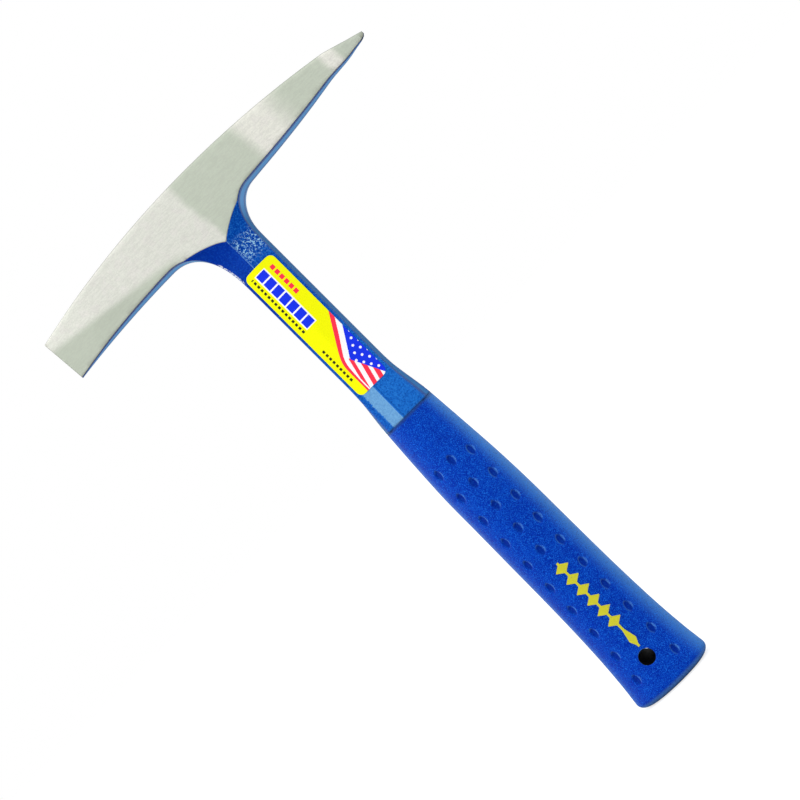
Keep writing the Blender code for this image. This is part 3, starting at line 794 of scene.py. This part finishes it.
# ---- materials ----
class Nodes:
    """Short calls for a material's node tree. Places in the tree are in millimetres."""

    def __init__(self, name, tree=None):
        if tree is None:
            self.material = bpy.data.materials.new(name)
            self.material.use_nodes = True
            tree = self.material.node_tree
        self.tree = tree
        self.tree.nodes.clear()

    def node(self, kind, inputs=(), output=0, **settings):
        made = self.tree.nodes.new("ShaderNode" + kind)
        for key, value in settings.items():
            setattr(made, key, value)
        for key, value in dict(inputs).items():
            if isinstance(value, bpy.types.NodeSocket):
                self.tree.links.new(value, made.inputs[key])
            else:
                made.inputs[key].default_value = value
        return made.outputs[output] if made.outputs else None

    def place(self, stretch=(1.0, 1.0, 1.0)):
        """The point in millimetres, stretched along the axes."""
        here = self.node("TexCoord", output="Object")
        factor = tuple(s / MM for s in stretch)
        return self.node("VectorMath", {0: here, 1: factor}, operation="MULTIPLY")

    def axis(self, name):
        return self.node("SeparateXYZ", {0: self.place()}, output=name)

    def math(self, operation, a, b=0.0, c=0.0, clamp=False):
        return self.node("Math", {0: a, 1: b, 2: c}, operation=operation, use_clamp=clamp)

    def line(self, value, slope, start):
        """Value times slope, plus start."""
        return self.math("MULTIPLY_ADD", value, slope, start)

    def ramp(self, value, low, high, out_low=0.0, out_high=1.0):
        """A smooth change from out_low to out_high while the value goes from low to high."""
        return self.node("MapRange", {0: value, 1: low, 2: high, 3: out_low, 4: out_high},
                         interpolation_type="SMOOTHSTEP")

    def fall(self, value, low, high):
        """A smooth change from 1 to 0 while the value goes from low to high."""
        return self.ramp(value, low, high, 1.0, 0.0)

    def noise(self, scale, detail=2.0, roughness=0.5, stretch=(1.0, 1.0, 1.0), distortion=0.0):
        """Noise with features about 1/scale millimetres wide."""
        return self.node("TexNoise", {"Vector": self.place(stretch), "Scale": scale,
                                      "Detail": detail, "Roughness": roughness,
                                      "Distortion": distortion})

    def cells(self, scale):
        return self.node("TexVoronoi", {"Vector": self.place(), "Scale": scale,
                                        "Smoothness": 0.6}, feature="SMOOTH_F1")

    def mix(self, factor, a, b):
        """A colour mix; a and b are colours or sockets."""
        made = self.tree.nodes.new("ShaderNodeMix")
        made.data_type = "RGBA"
        for number, value in ((0, factor), (6, a), (7, b)):
            if isinstance(value, bpy.types.NodeSocket):
                self.tree.links.new(value, made.inputs[number])
            elif number:
                made.inputs[number].default_value = (*value, 1.0)
            else:
                made.inputs[number].default_value = value
        return made.outputs[2]

    def layers(self, colour, *layers):
        """A colour with (mask, colour) layers laid over it one by one."""
        for mask, over in layers:
            colour = self.mix(mask, colour, over)
        return colour

    def bump(self, height, depth, strength=1.0):
        """Relief that is this many millimetres deep."""
        return self.node("Bump", {"Height": height, "Distance": depth * MM, "Strength": strength})

    def attribute(self, name):
        return self.node("Attribute", output="Fac", attribute_name=name)

    def facing(self, name):
        """How much the surface faces along an axis, from -1 to 1."""
        normal = self.node("NewGeometry", output="Normal")
        return self.node("SeparateXYZ", {0: normal}, output=name)

    def band(self, value, low, high):
        """1 where the value lies between two limits, else 0."""
        return self.math("COMPARE", value, (low + high) / 2, (high - low) / 2)

    def times(self, *values):
        """The product of masks or other values."""
        product = values[0]
        for value in values[1:]:
            product = self.math("MULTIPLY", product, value)
        return product

    def window(self, value, low, full, fade, end):
        """1 from full to fade, falling smoothly to 0 at low and at end."""
        return self.times(self.ramp(value, low, full), self.fall(value, fade, end))

    def principled(self, **inputs):
        names = {key.replace("_", " "): value for key, value in inputs.items()}
        return self.node("BsdfPrincipled", names)

    def finish(self, shader):
        self.node("OutputMaterial", {"Surface": shader})
        return self.material


def steel_shader(n):
    """Ground and lacquered steel: soft bands of painted highlight and painted shade across the
    head, grinding marks and fine grain.
    """
    x, z = n.axis("X"), n.axis("Z")
    marks = n.noise(1.0, detail=3.0, stretch=(3.0, 1.0, 0.3))
    grain = n.noise(1.6, detail=3.0, roughness=0.7)
    clouds = n.noise(0.11, detail=3.0)
    along = n.math("ADD", x, n.line(clouds, 5.0, -2.5))
    lean = n.line(n.math("SUBTRACT", z, BAND_MIDDLE_Z), BAND_LEAN, along)
    # Bands of painted highlight and painted shade stand in for the lamps' reflections in the ground
    # facets.
    highlight_bands = n.math("ADD", *(n.window(lean, *limits) for limits in HIGHLIGHT_BANDS))
    shade = n.math("SUBTRACT", n.ramp(lean, *SHADE_START), highlight_bands, clamp=True)
    # A wedge of painted shade along the lower edge of the blade, wider towards the chisel edge.
    wedge_top = n.line(n.math("ADD", along, 80.0), -0.16, 267.0)
    wedge = n.times(n.ramp(n.math("SUBTRACT", wedge_top, z), -1.5, 2.5),
                    n.fall(x, -28.0, -12.0))
    shade = n.math("MAXIMUM", shade, wedge)
    shade = n.math("ADD", shade, n.line(clouds, 0.3, -0.15), clamp=True)
    fleck = n.noise(1.4, detail=3.0, roughness=0.65, stretch=(0.2, 1.0, 1.0))
    tint = n.noise(0.3, detail=2.0)
    # The lit and shaded colours of the steel: the painted highlight is brighter on the pick side,
    # the painted shade darker towards the chisel.
    bright = n.mix(n.ramp(x, 20.0, 34.0), (0.86, 0.87, 0.79), (0.94, 0.935, 0.85))
    bright = n.mix(n.ramp(tint, 0.45, 0.65, 0.0, 0.35), bright, (0.88, 0.84, 0.81))
    shaded = n.mix(n.ramp(x, -50.0, -30.0), (0.565, 0.62, 0.515), (0.62, 0.68, 0.565))
    colour = n.layers(
        n.mix(shade, bright, shaded),
        (n.ramp(fleck, 0.42, 0.60, 0.0, 0.13), (0.36, 0.37, 0.32)),
        (n.ramp(x, 79.0, 84.0, 0.0, 0.15), (0.40, 0.46, 0.44)),
        (n.ramp(n.attribute("ground"), 0.05, 0.5, 0.65, 0.0), (0.20, 0.21, 0.15)),
        (n.ramp(n.attribute("wall"), 1.4, 1.95, 0.8, 0.0), (0.25, 0.26, 0.24)),
        (n.ramp(grain, 0.3, 0.7, 0.25, 0.0), (0.50, 0.52, 0.46)))
    relief = n.math("ADD", marks, grain)
    roughness = n.line(marks, 0.14, 0.32)
    return n.principled(Base_Color=colour, Metallic=0.85, Roughness=roughness,
                        Normal=n.bump(relief, 0.02, 0.6))


def enamel_on_faces(n, fine, speck):
    """Colour of the roof faces: deep blue on the neck, paler towards the collar with a painted
    sheen and a painted reflection on the flat face.
    """
    x, z = n.axis("X"), n.axis("Z")
    pick_side = n.ramp(x, -1.9, -1.3)
    low = n.fall(z, *LOW_SHANK_SHEEN_Z)
    # Pale specks of the hammered enamel, partly painted highlights, fullest on the pick-side face.
    lighter = n.times(n.ramp(fine, 0.50, 0.64, 0.0, 0.45), n.ramp(pick_side, 0.0, 1.0, 0.25, 1.0))
    # Low on the shank the flat blade-side face takes a painted reflection, with painted shade past
    # its ragged border.
    border = n.line(speck, 2.4, -8.8)
    flat = n.times(n.ramp(n.math("SUBTRACT", x, border), 0.0, 0.4), n.fall(x, -1.9, -1.6))
    outer = n.times(n.fall(x, -8.4, -7.4), n.ramp(speck, 0.45, 0.55, 0.0, 0.6))
    reflected_pale = n.mix(n.ramp(fine, 0.40, 0.62), (0.17, 0.42, 0.78), (0.23, 0.52, 0.86))
    # A painted highlight runs along the land with painted shade beside it; painted glints and dark
    # specks lie by it on the neck.
    line = n.times(n.band(x, -2.15, -1.75), n.ramp(fine, 0.35, 0.5, 0.0, 0.5))
    on_neck = n.times(n.window(z, *NECK_GLINT_Z), pick_side)
    return n.layers(
        # The blade-side face takes painted shade and the pick-side face a lighter painted tone.
        n.mix(pick_side, (0.0, 0.034, 0.46), (0.0, 0.080, 0.55)),
        # A painted sheen, paler low on the shank.
        (low, (0.010, 0.165, 0.72)),
        (n.ramp(fine, 0.50, 0.36, 0.0, 0.55), (0.0, 0.02, 0.30)),
        (lighter, (0.04, 0.30, 0.90)),
        (n.times(outer, low), (0.0, 0.03, 0.40)),
        (n.times(flat, low, 0.9), reflected_pale),
        (line, (0.22, 0.50, 0.90)),
        (n.times(n.band(x, -1.25, -0.75), 0.4), (0.0, 0.03, 0.28)),
        (n.times(on_neck, n.ramp(speck, 0.48, 0.42, 0.0, 0.8)), (0.0, 0.03, 0.36)),
        (n.times(on_neck, n.ramp(speck, 0.53, 0.57)), (0.42, 0.74, 1.0)))


def enamel_on_walls(n, middle):
    """Colour of the walls: greyer, with painted shade along both of their edges and a paler painted
    reflection where they face down.
    """
    down = n.ramp(n.facing("Z"), -0.15, -0.8)
    edges = n.mix(down, (0.0, 0.07, 0.36), (0.02, 0.11, 0.50))
    return n.mix(middle, edges, n.mix(down, (0.06, 0.19, 0.50), (0.26, 0.46, 0.90)))


def enamel_shader(n):
    """Hammered blue enamel, with painted glints by the neck, painted shade at the collar and dark
    on the nose.
    """
    x, y, z = (n.axis(name) for name in "XYZ")
    fine = n.noise(1.6, detail=3.0, roughness=0.65)
    speck = n.noise(1.3, detail=3.0, roughness=0.6, distortion=0.8)
    depth = n.attribute("wall")
    on_wall = n.fall(depth, 1.1, 1.5)
    middle = n.window(depth, 0.0, 0.25, 0.72, 0.86)
    # Painted glints along the neck's blade-side edge.
    edge_glints = n.times(n.window(z, *EDGE_GLINT_Z), n.ramp(y, 0.0, -1.0), n.ramp(x, 0.0, -1.0),
                      n.ramp(speck, 0.46, 0.50), n.band(depth, 0.9, 1.95))
    nose_x = float(steel_high[0]) - POINT_NOSE
    colour = n.layers(
        enamel_on_faces(n, fine, speck),
        (on_wall, enamel_on_walls(n, middle)),
        (edge_glints, (0.85, 0.90, 1.0)),
        # Painted shade on the collar just above the seam.
        (n.ramp(z, COLLAR_Z, COLLAR_Z + 0.9, 0.6, 0.0), (0.03, 0.06, 0.14)),
        (n.ramp(x, nose_x, nose_x + 1.2, 0.0, 0.9), (0.0, 0.01, 0.09)))
    relief = n.math("ADD", n.cells(0.8), n.times(fine, 0.8))
    return n.principled(Base_Color=colour, Metallic=n.times(on_wall, middle, 0.6), Roughness=0.35,
                        Specular_IOR_Level=0.3, Specular_Tint=(0.15, 0.75, 1.0, 1.0),
                        Normal=n.bump(relief, 0.12, 0.8))


def forging_material():
    """Bare steel on the ground cheeks and enamel elsewhere, with a ragged border."""
    n = Nodes("forged_steel_finish")
    ragged = n.line(n.noise(1.6, detail=3.0), 0.22, -0.11)
    bare = n.ramp(n.math("ADD", n.attribute("ground"), ragged), -0.06, 0.06)
    shader = n.node("MixShader", {0: bare, 1: enamel_shader(n), 2: steel_shader(n)})
    return n.finish(shader)


def vinyl_material():
    """Soft blue vinyl with an orange-peel skin, with a paler painted sheen where it turns away to
    the sides.
    """
    n = Nodes("blue_vinyl_finish")
    peel = n.noise(2.5, detail=3.0, roughness=0.7)
    tone = n.noise(0.2, detail=3.0)
    sideways = n.math("ABSOLUTE", n.math("ADD", n.facing("X"), 0.08))
    # A painted highlight on the dimples' pick-side rims.
    wear_and_highlight = n.times(n.attribute("dimple_rim"), n.ramp(peel, 0.35, 0.55, 0.2, 0.8))
    seam_z = float(grip_high[2])
    colour = n.layers(
        n.mix(n.ramp(tone, 0.3, 0.7), (0.0, 0.028, 0.51), (0.0, 0.047, 0.59)),
        # Painted sheen on the sides, and a painted rim light where the grip faces down.
        (n.ramp(sideways, 0.62, 1.12, 0.0, 0.7), (0.09, 0.36, 0.78)),
        (n.ramp(n.facing("Z"), -0.1, -0.8, 0.0, 0.6), (0.20, 0.50, 0.95)),
        (n.ramp(peel, 0.50, 0.66, 0.0, 0.8), (0.02, 0.24, 0.98)),
        (n.ramp(peel, 0.48, 0.32, 0.0, 0.8), (0.0, 0.010, 0.26)),
        # Painted shade in the dimples.
        (n.times(n.attribute("dimple"), 0.7), (0.0, 0.010, 0.30)),
        (wear_and_highlight, (0.12, 0.38, 0.95)),
        # Painted shade at the top of the grip, under the collar.
        (n.ramp(n.axis("Z"), seam_z - 1.3, seam_z, 0.0, 0.6), (0.03, 0.06, 0.15)))
    return n.finish(n.principled(Base_Color=colour, Roughness=0.42, Specular_IOR_Level=0.2,
                                 Specular_Tint=(0.15, 0.8, 1.0, 1.0), Sheen_Weight=0.1,
                                 Sheen_Roughness=0.3, Sheen_Tint=(0.6, 0.9, 1.0, 1.0),
                                 Normal=n.bump(peel, 0.14, 0.8)))


def bore_shade_material():
    """The unlit inside of the hanging bore: the same vinyl, near-black with painted shade."""
    n = Nodes("bore_painted_shade")
    shade_mottle = n.noise(1.2, detail=3.0)
    colour = n.mix(shade_mottle, (0.002, 0.002, 0.003), (0.006, 0.007, 0.010))
    return n.finish(n.principled(Base_Color=colour, Roughness=0.8, Specular_IOR_Level=0.1,
                                 Normal=n.bump(shade_mottle, 0.05)))


def text_layers(n, x, z):
    """Where words would stand: a row of plain blocks on white, a red bar and dashed rules."""
    def dashes(across, along, pitch, share, start=0.0):
        """Dashes within limits across and along the label; each fills a share of its pitch."""
        phase = n.math("DIVIDE", n.math("SUBTRACT", z, along[0] + start), pitch)
        dash = n.math("LESS_THAN", n.math("FRACT", phase), share)
        return n.times(n.band(x, *across), n.band(z, *along), dash)

    blocks, block_count = (200.5, 229.5), 7
    block_pitch = (blocks[1] - blocks[0]) / block_count
    return [(n.times(n.band(x, -4.5, 1.0), n.band(z, *blocks)), PRINT_WHITE),
            (dashes((-4.0, 0.5), blocks, block_pitch, 0.84, start=0.35), PRINT_BLUE),
            (dashes((2.6, 4.4), (213.5, 229.0), 2.6, 0.72), PRINT_RED),
            (dashes((-6.6, -5.5), blocks, 1.9, 0.6), PRINT_DARK),
            (dashes((-6.6, -5.5), (174.0, 190.5), 1.9, 0.6), PRINT_DARK)]


def stripe_layers(n, x, z):
    """A red and a white stripe sweep down from the right edge and turn straight down.

    To their right, more red stripes on the white lean slightly.
    """
    sweep = n.math("SMOOTH_MAX", n.line(z, 0.6, -113.2), -4.4, 3.0)
    across = n.math("SUBTRACT", x, sweep)
    past_red = n.math("SUBTRACT", across, n.ramp(z, 170.0, 192.0, 0.9, 2.1))
    below_turn = n.times(n.math("GREATER_THAN", past_red, 0.5), n.band(z, 160.0, 181.0))
    leaning = n.line(n.math("SUBTRACT", z, 167.0), -0.25, x)
    return [(n.math("GREATER_THAN", across, 0.0), PRINT_RED),
            (n.math("GREATER_THAN", past_red, 0.0), PRINT_WHITE),
            *((n.times(below_turn, n.band(leaning, low, high)), PRINT_RED)
              for low, high in ((-4.3, -2.8), (-1.0, 0.9), (2.3, 4.3)))]


def panel_layers(n, x, z):
    """A slanted blue panel with round white dots."""
    falling = n.line(x, -1.62, z)
    rising = n.line(x, 2.07, z)
    panel = n.times(n.band(falling, 150.0, 181.3), n.band(rising, 179.4, 220.0))
    # The dots stand on a slanted grid with these two half diagonals.
    step_x, step_z, dot_radius = 1.55, 2.55, 0.52
    shifted = n.line(x, 0.5 / step_x, 0.2)
    cell = (n.math("FRACT", n.line(z, half / step_z, shifted))
            for half in (-0.5, 0.5))
    u, v = (n.math("SUBTRACT", place, 0.5) for place in cell)
    off_x = n.times(n.math("ADD", v, u), step_x)
    off_z = n.times(n.math("SUBTRACT", v, u), step_z)
    off = n.math("SQRT", n.line(off_x, off_x, n.times(off_z, off_z)))
    return [(panel, PRINT_BLUE),
            (n.times(panel, n.math("LESS_THAN", off, dot_radius)), PRINT_WHITE)]


def label_material():
    """Printed yellow film: plain blocks, dashes, curved stripes and a dotted panel."""
    n = Nodes("label_finish")
    x, z = n.axis("X"), n.axis("Z")
    grain = n.noise(3.0, detail=2.0)
    film_colour = n.mix(n.ramp(grain, 0.4, 0.7), (0.86, 0.89, 0.0), (0.89, 0.91, 0.0))
    colour = n.layers(film_colour, *text_layers(n, x, z), *stripe_layers(n, x, z),
                      *panel_layers(n, x, z))
    # The print glows a little: painted light that brightens it.
    return n.finish(n.principled(Base_Color=colour, Roughness=0.4, Specular_IOR_Level=0.08,
                                 Emission_Color=colour, Emission_Strength=0.3,
                                 Normal=n.bump(grain, 0.01, 0.4)))


def foil_material():
    """Hot-stamped yellow foil, thin enough to show the grain of the vinyl."""
    n = Nodes("yellow_foil_finish")
    peel = n.noise(2.2, detail=2.0, roughness=0.6)
    wear_and_highlight = n.noise(1.4, detail=3.0)
    colour = n.mix(n.ramp(wear_and_highlight, 0.62, 0.75, 0.0, 0.8), (0.80, 0.76, 0.02), (0.25, 0.34, 0.20))
    return n.finish(n.principled(Base_Color=colour, Roughness=0.4,
                                 Normal=n.bump(peel, 0.06, 0.6)))


def floor_material():
    """A pale floor that is lit to white, with only a faint shadow where something touches it.

    In reflections it is dark in front of the hammer and bright behind it.
    """
    n = Nodes("floor_finish")
    fleck = n.noise(0.02, detail=2.0)
    seen = n.mix(fleck, (0.36, 0.36, 0.36), (0.40, 0.40, 0.40))
    reflected = n.mix(n.ramp(n.axis("Y"), 0.0, 400.0), (0.25, 0.25, 0.26), (0.60, 0.60, 0.60))
    camera_ray = n.node("LightPath", output="Is Camera Ray")
    surface = n.principled(Base_Color=n.mix(camera_ray, reflected, seen), Roughness=0.9,
                           Specular_IOR_Level=0.0, Emission_Color=(1.0, 1.0, 1.0, 1.0),
                           Emission_Strength=n.times(camera_ray, 0.75))
    return n.finish(surface)


# ---- studio and camera ----
def floor():
    """A wide disc under the butt."""
    count, radius = 96, 40000.0
    points = [(0.0, 0.0, 0.0)]
    for i in range(count):
        angle = 2 * math.pi * i / count
        points.append((radius * math.cos(angle), radius * math.sin(angle), 0.0))
    faces = [(0, i + 1, (i + 1) % count + 1) for i in range(count)]
    obj = new_object("floor", points, faces)
    obj.data.materials.append(floor_material())


def world():
    """White behind everything the camera sees; softer and darker in front for reflections."""
    made = bpy.data.worlds.new("studio")
    made.use_nodes = True
    n = Nodes("studio", made.node_tree)
    direction = n.node("TexCoord", output="Generated")
    x, y, z = (n.node("SeparateXYZ", {0: direction}, output=axis) for axis in "XYZ")
    front = n.ramp(z, -0.15, 0.08, 0.3, 1.2)
    behind = n.ramp(y, -0.1, 0.4)
    strength = n.line(n.math("SUBTRACT", 1.0, front), behind, front)
    # A greyer card stands low behind, which keeps the steel's far walls from glaring.
    card = n.times(n.ramp(y, 0.72, 0.85), n.fall(z, 0.12, 0.3))
    strength = n.line(n.math("SUBTRACT", 0.4, strength), card, strength)
    camera_ray = n.node("LightPath", output="Is Camera Ray")
    strength = n.math("MAXIMUM", strength, camera_ray)
    shader = n.node("Background", {"Color": (1.0, 1.0, 1.0, 1.0), "Strength": strength})
    n.node("OutputWorld", {"Surface": shader})
    bpy.context.scene.world = made


LAMP_AIM_Z = 160.0


def softbox(name, azimuth, elevation, distance, size, power):
    """A square area light that faces the middle of the hammer; its sizes are in metres."""
    a, e = math.radians(azimuth), math.radians(elevation)
    back = Vector((math.sin(a) * math.cos(e), -math.cos(a) * math.cos(e), math.sin(e)))
    data = bpy.data.lights.new(name, "AREA")
    data.size = size
    data.energy = power
    lamp = bpy.data.objects.new(name, data)
    lamp.location = Vector((0.0, 0.0, LAMP_AIM_Z * MM)) + back * distance
    lamp.rotation_euler = back.to_track_quat("Z", "Y").to_euler()
    lamp.visible_camera = False
    bpy.context.scene.collection.objects.link(lamp)


def camera():
    """Level with the middle of the hammer, a little to its pick side, and rolled by an eighth."""
    azimuth, roll = math.radians(8.5), math.radians(45.0)
    distance, sensor, view_width = 860.0, 36.0, 315.7
    aim_right, aim_up = 0.803, 155.44
    right = Vector((math.cos(azimuth), math.sin(azimuth), 0.0))
    back = Vector((math.sin(azimuth), -math.cos(azimuth), 0.0))
    up = Vector((0.0, 0.0, 1.0))
    middle = right * aim_right + up * aim_up
    data = bpy.data.cameras.new("camera")
    data.sensor_width = sensor
    data.lens = sensor * distance / view_width
    eye = bpy.data.objects.new("camera", data)
    axes = (right * math.cos(roll) - up * math.sin(roll),
            right * math.sin(roll) + up * math.cos(roll), back)
    turned = Matrix([axis[:] for axis in axes]).transposed().to_4x4()
    eye.matrix_world = Matrix.Translation((middle + back * distance) * MM) @ turned
    bpy.context.scene.collection.objects.link(eye)
    bpy.context.scene.camera = eye


for piece, node, slot in ((hammer_steel(), "steel_forging", "forged_steel"),
                          (handle_grip(), "grip", "blue_vinyl"),
                          (label_film(), "label", "label_film"),
                          (foil_mark(), "foil_mark", "yellow_foil")):
    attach(piece, "root")
    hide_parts(node)

floor()
world()
softbox("key", -75.0, 35.0, 0.95, 0.50, 2.0)
camera()
bpy.context.scene.view_settings.view_transform = "Standard"
